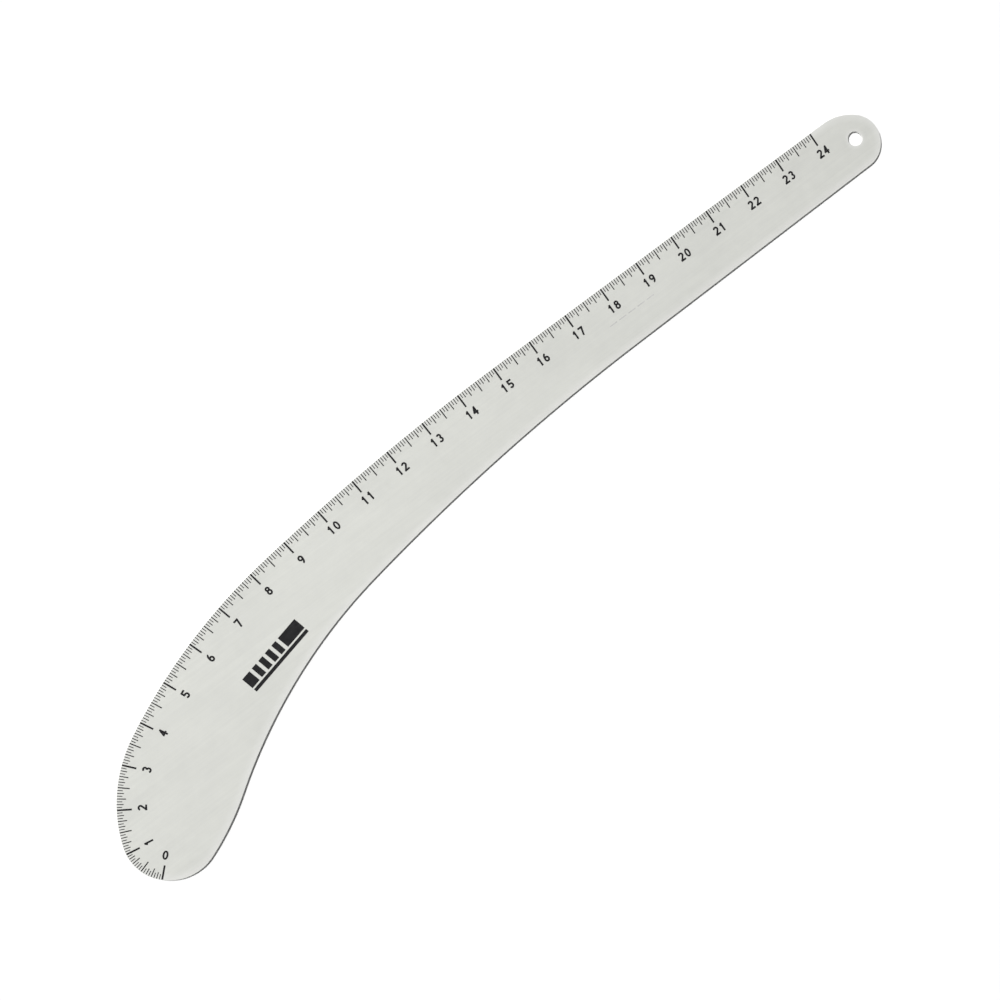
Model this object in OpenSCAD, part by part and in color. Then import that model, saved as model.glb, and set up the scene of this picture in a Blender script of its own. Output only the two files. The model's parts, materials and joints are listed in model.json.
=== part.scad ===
// French curve: a one-piece 24 inch curved rule for pattern drafting.
// The outline is one closed run of tangent arcs and straights, walked clockwise from scale mark 0:
// round the heel, along the graduated edge to the tip, round the tip, and back along the hollow edge.
// The straight part of the graduated edge runs along +X. The printed face looks up, along +Z.
// The origin is under the middle of the outline, on the back face. All sizes are in millimetres.

/* [Sheet and hanging hole] */
// Thickness of the sheet
sheet_t = 1.3; // [1:0.1:2]
// Diameter of the hanging hole
hole_d = 8; // [5:0.5:10]
// Distance of the hole's centre from the straight part of the graduated edge
hole_inset = 18; // [15:0.5:20]
// Distance of the hole's centre from the far end of the tip
hole_setback = 14.5; // [13:0.5:20]

/* [Graduated edge, from mark 0] */
// Radius of the heel
heel_r = 27; // [25:1:29]
// Turn of the heel after mark 0, in degrees
heel_turn = 63; // [60:0.5:66]
// Radius of the spring, the first flatter arc
spring_r = 84; // [80:1:88]
// Turn of the spring, in degrees
spring_turn = 43; // [41.5:0.5:44.5]
// Radius of the hip, the long curve in the middle
hip_r = 340; // [330:5:350]
// Turn of the hip, in degrees
hip_turn = 20; // [19:0.5:21]
// Radius of the lead, the nearly flat curve before the straight
lead_r = 1400; // [1350:10:1450]
// Turn of the lead, in degrees
lead_turn = 7; // [6.8:0.1:7.4]
// Length of the straight
straight_l = 237; // [234:1:244]

/* [Tip] */
// Radius of the shoulder, where the straight runs into the tip
shoulder_r = 30; // [27:1:33]
// Turn of the shoulder, in degrees
shoulder_turn = 42; // [39.5:0.5:44.5]
// Radius of the tip
tip_r = 16; // [15:0.5:17]
// Taper of the shank between its two straight edges, in degrees
shank_taper = 0.7; // [0.3:0.1:1.1]

/* [Hollow edge, from the tip] */
// Length of the straight
back_l = 174; // [168:1:180]
// Radius of the nearly flat curve after the straight
back_r = 1300; // [1250:10:1350]
// Turn of the nearly flat curve, in degrees
back_turn = 8.8; // [8.4:0.1:9.2]
// Radius of the hollow
hollow_r = 320; // [310:5:330]
// Radius of the flank, between the hollow and the heel
flank_r = 160; // [140:10:190]

/* [Scale] */
// Length of one inch of the scale
inch = 25.4; // [25.2:0.1:25.6]
// Number of inches on the scale
inches = 24; // [4:1:24]
// Gap between the edge and the outer end of every mark
mark_gap = 0.4; // [0.3:0.1:1]
// Length of an inch mark
inch_l = 8; // [7:0.1:9]
// Width of an inch mark
inch_w = 1; // [0.4:0.05:1.2]
// Length of a half-inch mark
half_l = 6.5; // [5.5:0.1:7]
// Width of a half-inch mark
half_w = 0.65; // [0.3:0.05:0.8]
// Length of a quarter-inch mark
quarter_l = 4.9; // [4:0.1:5.5]
// Width of a quarter-inch mark
quarter_w = 0.55; // [0.3:0.05:0.7]
// Length of an eighth-inch mark
eighth_l = 3.6; // [3:0.1:4]
// Width of an eighth-inch mark
eighth_w = 0.5; // [0.2:0.05:0.6]
// Length of a sixteenth-inch mark
sixteenth_l = 2.9; // [2:0.1:3]
// Width of a sixteenth-inch mark
sixteenth_w = 0.45; // [0.2:0.05:0.5]

/* [Numerals] */
// Distance of a one-digit number's middle from the edge
digit_inset = 14.1; // [12:0.1:16]
// Distance of a two-digit number's middle from the edge
pair_inset = 13.1; // [12:0.1:16]
// Shift of every number from its mark, towards the tip
number_shift = 0.6; // [0:0.1:1]
// Height of a digit
digit_h = 5.2; // [4.4:0.1:6]
// Width of a digit
digit_w = 3.2; // [2.8:0.1:3.6]
// Distance between the middles of a number's two digits
digit_pitch = 4.2; // [4:0.1:4.6]
// Width of a digit's stroke
pen = 1.05; // [0.5:0.05:1.2]

/* [Maker's panel, a plain stand-in] */
// Scale inch that the panel is centred on
panel_at = 7; // [6.5:0.1:7.5]
// Distance of the panel's middle from the graduated edge
panel_inset = 41.3; // [38:0.1:42]
// Length of the panel
panel_l = 44; // [40:1:48]
// Height of the panel
panel_h = 10.5; // [9:0.5:11]
// Thickness of the rule along the panel's inner side
rule_t = 2; // [1:0.5:3]
// Gap between the rule and the blocks beside it
rule_gap = 1; // [0.5:0.5:1.5]
// Length of the block at the heel's end
first_block_l = 6; // [4:1:8]
// Length of the block at the tip's end
last_block_l = 14; // [10:1:16]
// Number of bars between the two blocks
bars = 4; // [1:1:5]
// Length of a bar
bar_l = 3.5; // [1:0.5:3.5]

/* [Caption, a plain stand-in] */
// Scale inch that the caption is centred on
caption_at = 18.3; // [17:0.1:20]
// Distance of the caption from the graduated edge
caption_inset = 20.8; // [19:0.1:22]
// Number of dashes
dashes = 5; // [2:1:6]
// Length of a dash
dash_l = 5; // [2:0.5:6]
// Distance from one dash to the next
dash_pitch = 6.6; // [6.4:0.1:8]
// Thickness of a dash
dash_t = 0.6; // [0.4:0.1:1]

/* [Hidden] */

// Thickness of the ink
ink_t = 0.05;
// Furthest that a chord of the outline lies from its true arc
chord_error = 0.01;
// Step between the points of a digit's curve, in degrees
digit_step = 15;
sheet_colour = [0.85, 0.85, 0.83];
ink_colour = [0.08, 0.08, 0.08];
caption_colour = [0.55, 0.55, 0.53];

// A piece of edge is [length, turn]: the turn is in degrees, to the left when positive.
// A state is [x, y, heading]: a point on the edge and the direction of travel there.
function arc(r, turn) = [r * abs(turn) * PI / 180, turn];

// State at a distance s along a piece that begins at a state
function along(state, piece, s) =
    let (a = piece[1] * s / piece[0] / 2,
         chord = a == 0 ? s : s * sin(a) / (a * PI / 180),
         h = state[2] + a)
    [state[0] + chord * cos(h), state[1] + chord * sin(h), h + a];

// States at the start of every piece of a run, and at its end
function states(state, run, i = 0) =
    i == len(run) ? [state]
    : concat([state], states(along(state, run[i], run[i][0]), run, i + 1));

function radius(piece) = piece[0] / (abs(piece[1]) * PI / 180);
function steps(piece) =
    piece[1] == 0 ? 1 : ceil(piece[0] / sqrt(8 * radius(piece) * chord_error));

// Points of a run, without its last one
function points(state, run) =
    let (start = states(state, run))
    [for (i = [0 : len(run) - 1], k = [0 : steps(run[i]) - 1])
        let (p = along(start[i], run[i], run[i][0] * k / steps(run[i])))
        [p[0], p[1]]];

// Centre of the circle of radius r that a state travels round, to the left when r is positive
function centre(state, r) = [state[0] - r * sin(state[2]), state[1] + r * cos(state[2])];
// Point at ra from a and at rb from b, on the right of the line from a to b
function meet(a, ra, b, rb) =
    let (d = norm(b - a), u = (b - a) / d, x = (d * d + ra * ra - rb * rb) / (2 * d))
    a + x * u + sqrt(ra * ra - x * x) * [u[1], -u[0]];
function bearing(v) = atan2(v[1], v[0]);
function left_turn(from, to) = ((to - from) % 360 + 360) % 360;

// The graduated edge and the tip. The straight's heading is 0, so the start's heading is their sum.
graduated = [arc(heel_r, -heel_turn), arc(spring_r, -spring_turn), arc(hip_r, -hip_turn),
    arc(lead_r, -lead_turn), [straight_l, 0]];
start = [0, 0, heel_turn + spring_turn + hip_turn + lead_turn];
tip_turn = 180 - shank_taper - shoulder_turn;
open_run = concat(graduated, [arc(shoulder_r, -shoulder_turn), arc(tip_r, -tip_turn),
    [back_l, 0], arc(back_r, back_turn)]);

// The flank's circle touches the hollow's circle from outside and the heel's circle from inside,
// so its centre follows from theirs, and the last three turns from the lines between the centres.
hollow_start = states(start, open_run)[len(open_run)];
hollow_c = centre(hollow_start, hollow_r);
heel_c = centre(start, -heel_r);
flank_c = meet(hollow_c, hollow_r + flank_r, heel_c, flank_r - heel_r);
flank_heading = bearing(flank_c - hollow_c) + 90;
heel_heading = bearing(heel_c - flank_c) - 90;
outline_run = concat(open_run, [
    arc(hollow_r, left_turn(hollow_start[2], flank_heading)),
    arc(flank_r, -left_turn(heel_heading, flank_heading)),
    arc(heel_r, -left_turn(start[2], heel_heading))]);

// The outline, moved so that the middle of its box is at the origin
raw = points(start, outline_run);
low = [min([for (p = raw) p[0]]), min([for (p = raw) p[1]])];
high = [max([for (p = raw) p[0]]), max([for (p = raw) p[1]])];
shift = -(low + high) / 2;
outline = [for (p = raw) p + shift];
mark_0 = [start[0] + shift[0], start[1] + shift[1], start[2]];
straight_y = shift[1] + states(start, graduated)[len(graduated)][1];
hole_c = [high[0] + shift[0] - hole_setback, straight_y - hole_inset];

// State of the graduated edge at a distance s from mark 0
function edge_at(s, state = mark_0, i = 0) =
    s <= graduated[i][0] || i == len(graduated) - 1 ? along(state, graduated[i], s)
    : edge_at(s - graduated[i][0], along(state, graduated[i], graduated[i][0]), i + 1);

// Puts its children on the printed face at a distance s from mark 0, with +X along the edge
// towards the tip and +Y out over the edge, and gives them the ink's thickness
module print_at(s) {
    e = edge_at(s);
    translate([e[0], e[1], sheet_t])
        rotate([0, 0, e[2]])
            linear_extrude(ink_t)
                children();
}

// Marks of one kind, each at a place given in inches
module marks(places, l, w) {
    color(ink_colour)
        for (place = places)
            print_at(place * inch)
                translate([-w / 2, -mark_gap - l])
                    square([w, l]);
}

// Half the width and half the height of a digit, to the middle of its stroke
hw = (digit_w - pen) / 2;
hh = (digit_h - pen) / 2;

// Points on an ellipse about c with half-axes r, from bearing a to bearing b
function bow(c, r, a, b) =
    let (n = ceil(abs(b - a) / digit_step))
    [for (k = [0 : n]) let (t = a + (b - a) * k / n) [c[0] + r[0] * cos(t), c[1] + r[1] * sin(t)]];

function unit(v) = v / norm(v);
// Points half a pen's width to one side of an open path
function beside(path, side) =
    [for (i = [0 : len(path) - 1])
        let (t = unit(path[min(i + 1, len(path) - 1)] - path[max(i - 1, 0)]))
        path[i] + side * pen / 2 * [-t[1], t[0]]];

// A stroke of the pen along a path
module stroke(path) {
    back = beside(path, -1);
    polygon(concat(beside(path, 1), [for (i = [len(back) - 1 : -1 : 0]) back[i]]));
}

// A straight stroke that reaches half a pen's width past both points
module bar(a, b) {
    over = pen / 2 * unit(b - a);
    stroke([a - over, b + over]);
}

// A closed oval stroke about c, with half-axes r to the middle of the stroke
module oval(c, r) {
    difference() {
        polygon(bow(c, r + [pen, pen] / 2, 0, 360 - digit_step));
        polygon(bow(c, r - [pen, pen] / 2, 0, 360 - digit_step));
    }
}

// One digit about the origin. Every coordinate is a share of the digit's half width or half height.
module digit(d) {
    bowl = 0.56 * hh;
    if (d == 0) {
        oval([0, 0], [hw, hh]);
    }
    if (d == 1) {
        bar([0.1 * hw, hh], [0.1 * hw, -hh]);
        stroke([[0.1 * hw, hh + 0.1 * pen], [-0.8 * hw, 0.45 * hh]]);
    }
    if (d == 2) {
        stroke(concat(bow([0, hh - hw], [hw, hw], 165, -35), [[-hw, -hh]]));
        bar([-hw, -hh], [hw, -hh]);
    }
    if (d == 3) {
        stroke(bow([0, hh - 0.9 * hw], [0.9 * hw, 0.9 * hw], 150, -90));
        stroke(bow([0, -hh + hw], [hw, hh - 0.9 * hw], 90, -155));
    }
    if (d == 4) {
        bar([0.45 * hw, hh], [0.45 * hw, -hh]);
        stroke([[0.45 * hw, hh + 0.2 * pen], [-hw, -0.45 * hh]]);
        bar([-hw, -0.45 * hh], [hw, -0.45 * hh]);
    }
    if (d == 5) {
        bar([-0.8 * hw, hh], [0.9 * hw, hh]);
        bar([-0.8 * hw, hh], [-0.8 * hw, 0.15 * hh]);
        stroke(bow([0, -hh + bowl], [hw, bowl], 140, -150));
    }
    if (d == 6) {
        oval([0, -hh + bowl], [hw, bowl]);
        stroke(bow([0.25 * hw, -hh + bowl], [1.25 * hw, 2 * hh - bowl], 180, 85));
    }
    if (d == 7) {
        bar([-hw, hh], [0.9 * hw, hh]);
        stroke([[0.95 * hw, hh + 0.2 * pen], [-0.3 * hw, -hh - 0.5 * pen]]);
    }
    if (d == 8) {
        oval([0, hh - 0.85 * hw], [0.85 * hw, 0.85 * hw]);
        oval([0, -hh + bowl], [hw, bowl]);
    }
    if (d == 9) {
        rotate(180)
            digit(6);
    }
}

// The number n with its middle at the origin
module number(n) {
    if (n < 10) {
        digit(n);
    } else {
        translate([-digit_pitch / 2, 0])
            digit(floor(n / 10));
        translate([digit_pitch / 2, 0])
            digit(n % 10);
    }
}

// The one sheet that everything is printed on, with its hanging hole
module curve_blank() {
    color(sheet_colour)
        difference() {
            linear_extrude(sheet_t)
                polygon(outline);
            translate([hole_c[0], hole_c[1], -1])
                cylinder(d = hole_d, h = sheet_t + 2, $fn = 96);
        }
}

module inch_marks() {
    marks([0 : 1 : inches], inch_l, inch_w);
}

module half_inch_marks() {
    marks([1 / 2 : 1 : inches], half_l, half_w);
}

module quarter_inch_marks() {
    marks([1 / 4 : 1 / 2 : inches], quarter_l, quarter_w);
}

module eighth_inch_marks() {
    marks([1 / 8 : 1 / 4 : inches], eighth_l, eighth_w);
}

module sixteenth_inch_marks() {
    marks([1 / 16 : 1 / 8 : inches], sixteenth_l, sixteenth_w);
}

module numerals() {
    color(ink_colour)
        for (n = [0 : inches])
            print_at(n * inch)
                translate([number_shift, n < 10 ? -digit_inset : -pair_inset])
                    number(n);
}

// A rule along the inner side, with a block at each end and bars evenly between them
module maker_panel() {
    block_h = panel_h - rule_t - rule_gap;
    gap = (panel_l - first_block_l - last_block_l - bars * bar_l) / (bars + 1);
    color(ink_colour)
        print_at(panel_at * inch)
            translate([-panel_l / 2, -panel_inset - panel_h / 2]) {
                square([panel_l, rule_t]);
                translate([0, rule_t + rule_gap]) {
                    square([first_block_l, block_h]);
                    for (i = [0 : bars - 1])
                        translate([first_block_l + gap + i * (bar_l + gap), 0])
                            square([bar_l, block_h]);
                    translate([panel_l - last_block_l, 0])
                        square([last_block_l, block_h]);
                }
            }
}

// A faint row of dashes
module caption_dashes() {
    color(caption_colour)
        print_at(caption_at * inch)
            for (i = [0 : dashes - 1])
                translate([(i - (dashes - 1) / 2) * dash_pitch, -caption_inset])
                    square([dash_l, dash_t], center = true);
}

curve_blank();
inch_marks();
half_inch_marks();
quarter_inch_marks();
eighth_inch_marks();
sixteenth_inch_marks();
numerals();
maker_panel();
caption_dashes();
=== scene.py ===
"""Looks for the curved drafting rule: a satin aluminium sheet with baked-on printing.

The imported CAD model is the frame. The plain sheet is replaced by a mesh with broken edges, and the
printing keeps its CAD solids. Everything is in metres, in the CAD frame.
"""

import json
import math

import bmesh
import bpy
from mathutils import Matrix, Vector


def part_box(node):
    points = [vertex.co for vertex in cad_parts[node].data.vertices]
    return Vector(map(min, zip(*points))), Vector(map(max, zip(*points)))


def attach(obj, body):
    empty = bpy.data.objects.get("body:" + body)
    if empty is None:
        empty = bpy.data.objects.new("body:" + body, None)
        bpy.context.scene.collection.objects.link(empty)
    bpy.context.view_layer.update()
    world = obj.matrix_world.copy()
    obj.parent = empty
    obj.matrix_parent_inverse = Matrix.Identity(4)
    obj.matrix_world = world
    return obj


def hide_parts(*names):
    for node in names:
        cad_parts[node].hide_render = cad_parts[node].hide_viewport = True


MM = 0.001

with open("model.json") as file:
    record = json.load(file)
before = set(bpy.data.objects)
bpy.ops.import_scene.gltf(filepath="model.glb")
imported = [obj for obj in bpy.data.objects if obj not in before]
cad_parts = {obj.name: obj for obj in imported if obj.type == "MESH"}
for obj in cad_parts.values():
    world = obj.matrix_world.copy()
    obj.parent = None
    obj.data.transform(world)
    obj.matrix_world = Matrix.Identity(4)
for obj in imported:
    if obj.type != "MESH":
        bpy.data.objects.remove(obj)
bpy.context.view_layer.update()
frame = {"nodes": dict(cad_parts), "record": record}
record = frame["record"]
scene = bpy.context.scene

# ---------------------------------------------------------------- camera

LENS = 50.0             # mm, on a 36 mm sensor
TARGET = Vector((-10.7, 1.4, 1.3)) * MM     # the point of the printed face in the picture's middle
DISTANCE = 784.8 * MM
LEAN = Vector((-0.0791, 0.0936))            # how far the line of sight leans from straight down
UP = math.radians(53.46)                    # direction in the sheet's plane that points up the picture


def add_camera():
    back = Vector((LEAN.x, LEAN.y, math.sqrt(1 - LEAN.length_squared)))
    right = Vector((math.cos(UP), math.sin(UP), 0)).cross(back).normalized()
    data = bpy.data.cameras.new("camera")
    data.lens = LENS
    data.clip_start, data.clip_end = 0.01, 100
    camera = bpy.data.objects.new("camera", data)
    scene.collection.objects.link(camera)
    turn = Matrix((right, back.cross(right), back)).transposed()
    camera.matrix_world = Matrix.Translation(TARGET + DISTANCE * back) @ turn.to_4x4()
    scene.camera = camera


# ---------------------------------------------------------------- node helpers

class Nodes:
    """A short way to write a node tree."""

    def __init__(self, owner):
        owner.use_nodes = True
        self.tree = owner.node_tree
        self.tree.nodes.clear()

    def add(self, kind, links=None, **settings):
        """A node of that kind. links maps its inputs to sockets or values."""
        node = self.tree.nodes.new(kind)
        for name, value in settings.items():
            setattr(node, name, value)
        for name, value in (links or {}).items():
            if isinstance(value, bpy.types.NodeSocket):
                self.tree.links.new(value, node.inputs[name])
            else:
                node.inputs[name].default_value = value
        return node

    def math(self, operation, a, b=0.0, clamp=False):
        return self.add("ShaderNodeMath", {0: a, 1: b}, operation=operation, use_clamp=clamp).outputs[0]

    def span(self, value, low, high, to_low=0.0, to_high=1.0):
        """value, read from low to high, as a number from to_low to to_high."""
        return self.add("ShaderNodeMapRange", {
            "Value": value, "From Min": low, "From Max": high, "To Min": to_low, "To Max": to_high,
        }).outputs["Result"]

    def mix(self, factor, a, b):
        """A colour between two colours."""
        node = self.add("ShaderNodeMix", {"Factor": factor}, data_type="RGBA")
        for i, value in ((6, a), (7, b)):
            if isinstance(value, bpy.types.NodeSocket):
                self.tree.links.new(value, node.inputs[i])
            else:
                node.inputs[i].default_value = (*value, 1)
        return node.outputs[2]

    def place(self, size, turn=0.0):
        """Object coordinates in units of size, a length in millimetres along each axis."""
        where = self.add("ShaderNodeTexCoord").outputs["Object"]
        return self.add("ShaderNodeMapping", {
            "Vector": where,
            "Rotation": (0, 0, math.radians(turn)),
            "Scale": tuple(1 / (s * MM) for s in size),
        }).outputs["Vector"]

    def noise(self, size, detail=2.0, roughness=0.5, distortion=0.0, turn=0.0):
        """Smooth noise whose grains have that size, in millimetres along each axis."""
        return self.add("ShaderNodeTexNoise", {
            "Vector": self.place(size, turn), "Scale": 1.0, "Detail": detail,
            "Roughness": roughness, "Distortion": distortion,
        }).outputs["Fac"]

    def bump(self, height, depth, normal=None):
        """A bump whose height input of 1 stands depth millimetres high."""
        links = {"Height": height, "Distance": depth * MM, "Strength": 1.0}
        if normal is not None:
            links["Normal"] = normal
        return self.add("ShaderNodeBump", links).outputs["Normal"]

    def finish(self, links):
        """A Principled shader with those inputs, as the material's surface."""
        shader = self.add("ShaderNodeBsdfPrincipled", links)
        self.add("ShaderNodeOutputMaterial", {"Surface": shader.outputs[0]})


def material(name):
    m = bpy.data.materials.new(name)
    return m, Nodes(m)


# ---------------------------------------------------------------- materials

METALLIC = 0.28     # low, because a matt etched surface scatters much of the light like paint
UNEVEN = (0.3, 0.7)     # the part of a noise's range that most of the surface falls in


def satin_aluminium():
    """Rolled sheet with a fine grain along its length, handling marks and bright broken edges."""
    m, n = material("satin_aluminium")
    edge = n.add("ShaderNodeAttribute", attribute_name="edge", attribute_type="GEOMETRY").outputs["Fac"]
    rim = n.add("ShaderNodeAttribute", attribute_name="rim", attribute_type="GEOMETRY").outputs["Fac"]
    normal = n.add("ShaderNodeNewGeometry").outputs["Normal"]
    up = n.math("ABSOLUTE", n.add("ShaderNodeSeparateXYZ", {0: normal}).outputs["Z"])
    wall = n.span(up, 0.35, 0.15)

    grain = n.noise((26, 0.22, 2), detail=3, roughness=0.6)
    streak = n.noise((110, 1.3, 4), detail=2, roughness=0.5)
    haze = n.noise((60, 38, 20), detail=3, roughness=0.55, distortion=0.4)
    mottle = n.noise((5, 3.5, 3), detail=4, roughness=0.65)
    hair = n.span(n.noise((34, 0.35, 2), detail=1, distortion=0.6, turn=17), 0.735, 0.78)
    scuff = n.span(n.noise((21, 0.5, 2), detail=1, distortion=0.9, turn=-38), 0.75, 0.80)
    marks = n.math("MAXIMUM", hair, scuff)
    shear = n.noise((0.16, 0.16, 3.5), detail=2, roughness=0.6)

    tone = n.math("ADD", n.span(streak, *UNEVEN, -0.5, 0.5), n.span(haze, *UNEVEN, -0.5, 0.5))
    tone = n.math("ADD", tone, n.span(mottle, *UNEVEN, -0.4, 0.4))
    colour = n.mix(n.span(tone, -1.2, 1.2), (0.555, 0.56, 0.53), (0.61, 0.615, 0.58))
    colour = n.mix(n.math("MULTIPLY", rim, 0.35), colour, (0.74, 0.74, 0.73))
    colour = n.mix(n.math("MULTIPLY", wall, n.span(shear, 0.35, 0.65, 0.25, 0.75)), colour,
                   (0.50, 0.50, 0.49))

    rough = n.span(haze, *UNEVEN, 0.59, 0.65)
    rough = n.math("ADD", rough, n.span(grain, *UNEVEN, -0.05, 0.05))
    rough = n.math("ADD", rough, n.span(mottle, 0.4, 0.7, 0.0, 0.04))
    rough = n.math("SUBTRACT", rough, n.math("MULTIPLY", edge, 0.10))
    rough = n.math("SUBTRACT", rough, n.math("MULTIPLY", marks, 0.06))
    rough = n.math("ADD", rough, n.math("MULTIPLY", wall, 0.12))

    face = n.math("SUBTRACT", 1.0, wall, clamp=True)
    bumped = n.bump(n.math("MULTIPLY", grain, face), 0.010)
    bumped = n.bump(n.math("MULTIPLY", n.math("MULTIPLY", marks, face), -1.0), 0.012, bumped)
    bumped = n.bump(n.math("MULTIPLY", shear, wall), 0.05, bumped)
    n.finish({
        "Base Color": colour,
        "Metallic": METALLIC,
        "Roughness": rough,
        "Normal": bumped,
    })
    return m


def baked_ink(name, thin, thick, worn):
    """Screen-printed enamel: a slightly uneven matt film with tiny pinholes."""
    m, n = material(name)
    film = n.noise((2.4, 2.4, 2), detail=3, roughness=0.6)
    peel = n.noise((0.35, 0.35, 0.35), detail=2)
    pinhole = n.span(n.noise((0.28, 0.28, 0.28), detail=1), 0.74, 0.80)
    rubbed = n.span(n.noise((9, 1.1, 3), detail=4, roughness=0.7), 0.62, 0.80)
    colour = n.mix(n.span(film, *UNEVEN), thick, thin)
    colour = n.mix(n.math("MAXIMUM", n.math("MULTIPLY", pinhole, 0.6), n.math("MULTIPLY", rubbed, 0.35)),
                   colour, worn)
    rough = n.math("ADD", n.span(film, *UNEVEN, 0.55, 0.65), n.math("MULTIPLY", rubbed, 0.15))
    n.finish({
        "Base Color": colour,
        "Roughness": rough,
        "Specular IOR Level": 0.2,
        "Normal": n.bump(peel, 0.004),
    })
    return m


def pale_floor():
    m, n = material("pale_floor")
    tone = n.noise((90, 90, 90), detail=3)
    n.finish({
        "Base Color": n.mix(tone, (0.79, 0.79, 0.79), (0.81, 0.81, 0.81)),
        "Roughness": 0.8,
        "Specular IOR Level": 0.1,
    })
    return m


# ---------------------------------------------------------------- the sheet

EDGE_R = 0.28       # mm, radius that the top edge is broken to
BACK_R = 0.18       # mm, the same on the back
HOLE_R = 0.35       # mm, width of the hole's chamfer
HOLE_STEPS = 96
ARC_STEPS = 5
GUARD = 0.03        # mm, width of the narrow faces that keep the flats flat
RIM_WIDTHS = (0.6, 1.2, 2.5, 4.5)   # mm, rings inside the edge, over which the handling wear fades


def closed_loops(obj):
    """The closed edges of the CAD sheet's top face, each a list of points in the plane."""
    bm = bmesh.new()
    bm.from_mesh(obj.data)
    bmesh.ops.remove_doubles(bm, verts=bm.verts, dist=0.001 * MM)
    rim = {}
    for e in bm.edges:
        up = [f.normal.z for f in e.link_faces]
        if len(up) == 2 and max(up) > 0.9 and min(up) < 0.5:
            a, b = e.verts
            rim.setdefault(a, []).append(b)
            rim.setdefault(b, []).append(a)
    loops = []
    while rim:
        here = start = next(iter(rim))
        loop, last = [], None
        while here in rim:
            loop.append(here.co.xy.copy())
            onward = [v for v in rim.pop(here) if v is not last]
            last, here = here, onward[0]
            if here is start:
                break
        loops.append(loop)
    bm.free()
    return loops


def area(loop):
    return sum(a.x * b.y - b.x * a.y for a, b in zip(loop, loop[1:] + loop[:1])) / 2


def inward(loop):
    """At each point of an anticlockwise loop, the step that moves it inwards by one unit."""
    steps = []
    for i, p in enumerate(loop):
        a = (p - loop[i - 1]).normalized()
        b = (loop[(i + 1) % len(loop)] - p).normalized()
        n = Vector((-a.y - b.y, a.x + b.x)).normalized()
        steps.append(n / n.dot(Vector((-a.y, a.x))))
    return steps


def quarter(r):
    """(inset, drop) along a quarter circle, from the flat face to the wall."""
    turns = [math.pi / 2 * k / ARC_STEPS for k in range(ARC_STEPS + 1)]
    return [(r * (1 - math.sin(t)), r * (1 - math.cos(t))) for t in turns]


def section(thick, top, back, widths):
    """(inset, height, edge, rim) round the sheet's edge, from the top face to the back face, in mm.
    edge is 1 on the broken edge and 0 on the flats. rim falls from 1 to 0 across the widths."""
    def flats(first, z):
        reach = widths[-1] - first
        return [(w, z, 0.0, max(0.0, 1 - (w - first) / reach)) for w in reversed(widths)]
    start, stop = top[0][0] + GUARD, back[0][0] + GUARD
    rows = flats(start, thick) + [(start, thick, 0.0, 1.0)]
    rows += [(inset, thick - drop, 1.0, 1.0) for inset, drop in top]
    rows += [(0.0, thick - top[-1][1] - GUARD, 0.3, 1.0)]
    rows += [(0.0, back[-1][1] + GUARD, 0.3, 1.0)]
    rows += [(inset, drop, 1.0, 1.0) for inset, drop in reversed(back)]
    return rows + [(stop, 0.0, 0.0, 1.0)] + flats(stop, 0.0)[::-1]


def add_sheet():
    node = frame["nodes"]["curve_blank"]
    low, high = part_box("curve_blank")
    thick = (high.z - low.z) / MM
    outline = max(closed_loops(node), key=lambda loop: abs(area(loop)))
    if area(outline) < 0:
        outline.reverse()
    hole = next(x for x in record["mounts"] if x["name"] == "hang_hole")
    centre, r = Vector(hole["pos_m"][:2]), hole["dims"]["r_mm"] * MM
    turns = [2 * math.pi * k / HOLE_STEPS for k in range(HOLE_STEPS)]
    rays = [Vector((math.cos(t), math.sin(t))) for t in turns]
    chamfer = [(HOLE_R, 0.0), (HOLE_R / 2, 0.4 * HOLE_R), (0.0, HOLE_R)]

    bm = bmesh.new()
    edge = bm.verts.layers.float.new("edge")
    rim = bm.verts.layers.float.new("rim")

    def rings(points, steps, rows):
        made = []
        for inset, z, e, w in rows:
            ring = []
            for p, step in zip(points, steps):
                xy = p + step * inset * MM
                v = bm.verts.new((xy.x, xy.y, low.z + z * MM))
                v[edge], v[rim] = e, w
                ring.append(v)
            made.append(ring)
        for a, b in zip(made, made[1:]):
            for i in range(len(a)):
                k = (i + 1) % len(a)
                f = bm.faces.new((a[i], a[k], b[k], b[i]))
                f.smooth = True
        return made[0], made[-1]

    outer = rings(outline, inward(outline),
                  section(thick, quarter(EDGE_R), quarter(BACK_R), RIM_WIDTHS))
    inner = rings([centre + ray * r for ray in rays], rays,
                  section(thick, chamfer, chamfer, RIM_WIDTHS[:3]))
    for a, b in zip(outer, inner):
        edges = [bm.edges.get((ring[i - 1], ring[i])) for ring in (a, b) for i in range(len(ring))]
        made = bmesh.ops.triangle_fill(bm, use_beauty=True, use_dissolve=False, edges=edges)
        for g in made["geom"]:
            if isinstance(g, bmesh.types.BMFace):
                g.smooth = True
    bmesh.ops.recalc_face_normals(bm, faces=bm.faces)
    data = bpy.data.meshes.new("sheet")
    bm.to_mesh(data)
    bm.free()
    sheet = bpy.data.objects.new("sheet", data)
    scene.collection.objects.link(sheet)
    sheet.data.materials.append(satin_aluminium())
    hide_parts("curve_blank")
    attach(sheet, "root")
    return sheet


# ---------------------------------------------------------------- printing

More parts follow.
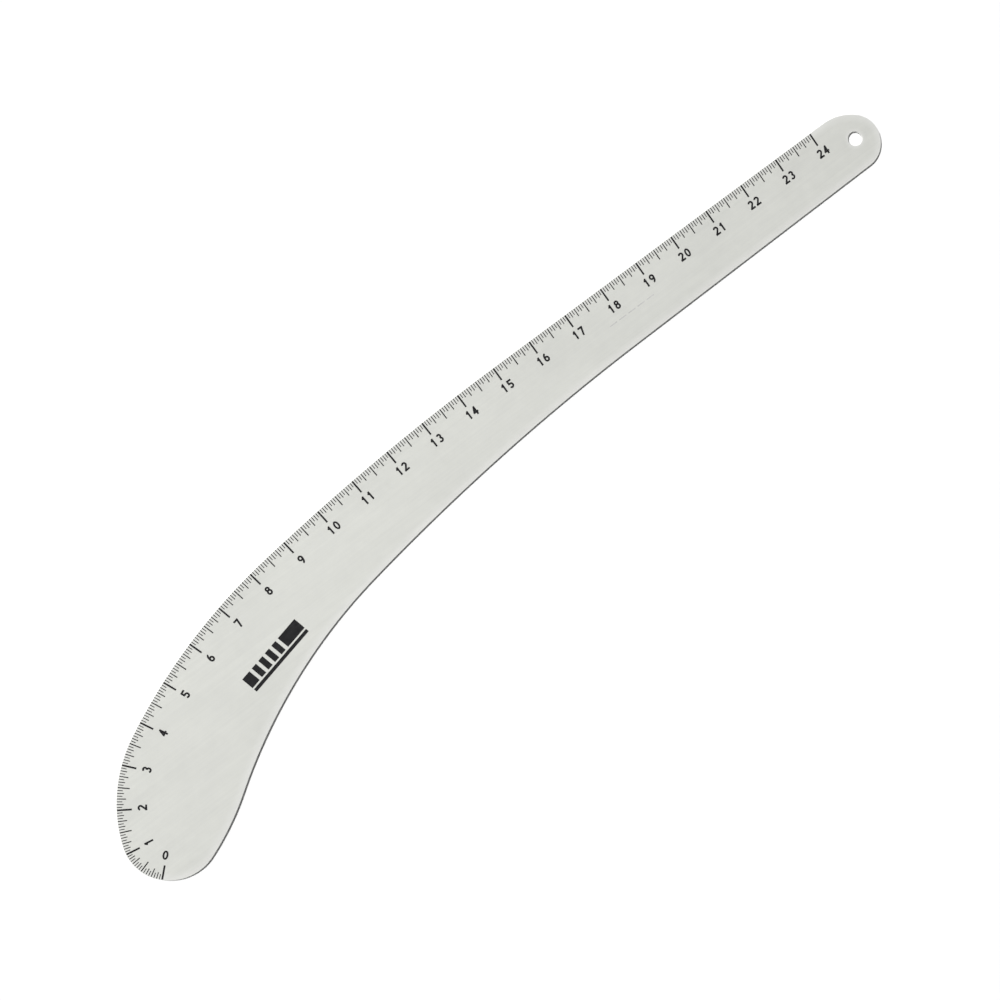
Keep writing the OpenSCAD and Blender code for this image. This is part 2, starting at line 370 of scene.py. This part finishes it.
def print_on():
    black = baked_ink("black_ink", thin=(0.014, 0.014, 0.015), thick=(0.006, 0.006, 0.007),
                      worn=(0.09, 0.09, 0.09))
    grey = baked_ink("grey_ink", thin=(0.50, 0.50, 0.49), thick=(0.40, 0.40, 0.39),
                     worn=(0.62, 0.62, 0.61))
    for name, node in frame["nodes"].items():
        if name != "curve_blank":
            node.data.materials.clear()
            node.data.materials.append(grey if name == "caption_dashes" else black)


# ---------------------------------------------------------------- floor and light

FLOOR_HALF = 6.0                        # m, from the middle of the floor to each side
KEY_ENERGY = 4.8
KEY_SIZE = math.radians(9)
KEY_HEIGHT = math.radians(48)           # above the floor
KEY_BEARING = math.radians(116)         # direction it comes from, in the sheet's plane
# Each is the sine of a height above the horizon, and the sky's brightness there.
SKY = ((0.0, 1.0), (0.12, 0.95), (0.30, 0.45), (0.50, 0.07), (1.0, 0.05))


def add_studio():
    data = bpy.data.meshes.new("floor")
    corners = [(x * FLOOR_HALF, y * FLOOR_HALF, 0) for x, y in ((-1, -1), (1, -1), (1, 1), (-1, 1))]
    data.from_pydata(corners, [], [(0, 1, 2, 3)])
    floor = bpy.data.objects.new("floor", data)
    scene.collection.objects.link(floor)
    floor.data.materials.append(pale_floor())

    light = bpy.data.lights.new("key", "SUN")
    light.energy = KEY_ENERGY
    light.angle = KEY_SIZE
    key = bpy.data.objects.new("key", light)
    scene.collection.objects.link(key)
    towards = Vector((math.cos(KEY_BEARING) * math.cos(KEY_HEIGHT),
                      math.sin(KEY_BEARING) * math.cos(KEY_HEIGHT), math.sin(KEY_HEIGHT)))
    key.rotation_euler = towards.to_track_quat("Z", "Y").to_euler()

    world = bpy.data.worlds.new("studio")
    scene.world = world
    n = Nodes(world)
    height = n.add("ShaderNodeSeparateXYZ", {0: n.add("ShaderNodeTexCoord").outputs["Generated"]})
    ramp = n.add("ShaderNodeValToRGB", {"Fac": height.outputs["Z"]})
    stops = ramp.color_ramp.elements
    while len(stops) < len(SKY):
        stops.new(0.5)
    for stop, (at, bright) in zip(stops, SKY):
        stop.position = at
        stop.color = (bright, bright, bright, 1)
    sky = n.add("ShaderNodeBackground", {"Color": ramp.outputs["Color"], "Strength": 1.0})
    n.add("ShaderNodeOutputWorld", {"Surface": sky.outputs[0]})
    scene.view_settings.view_transform = "Standard"


# ---------------------------------------------------------------- the scene

add_camera()
add_sheet()
print_on()
add_studio()

bpy.context.view_layer.update()
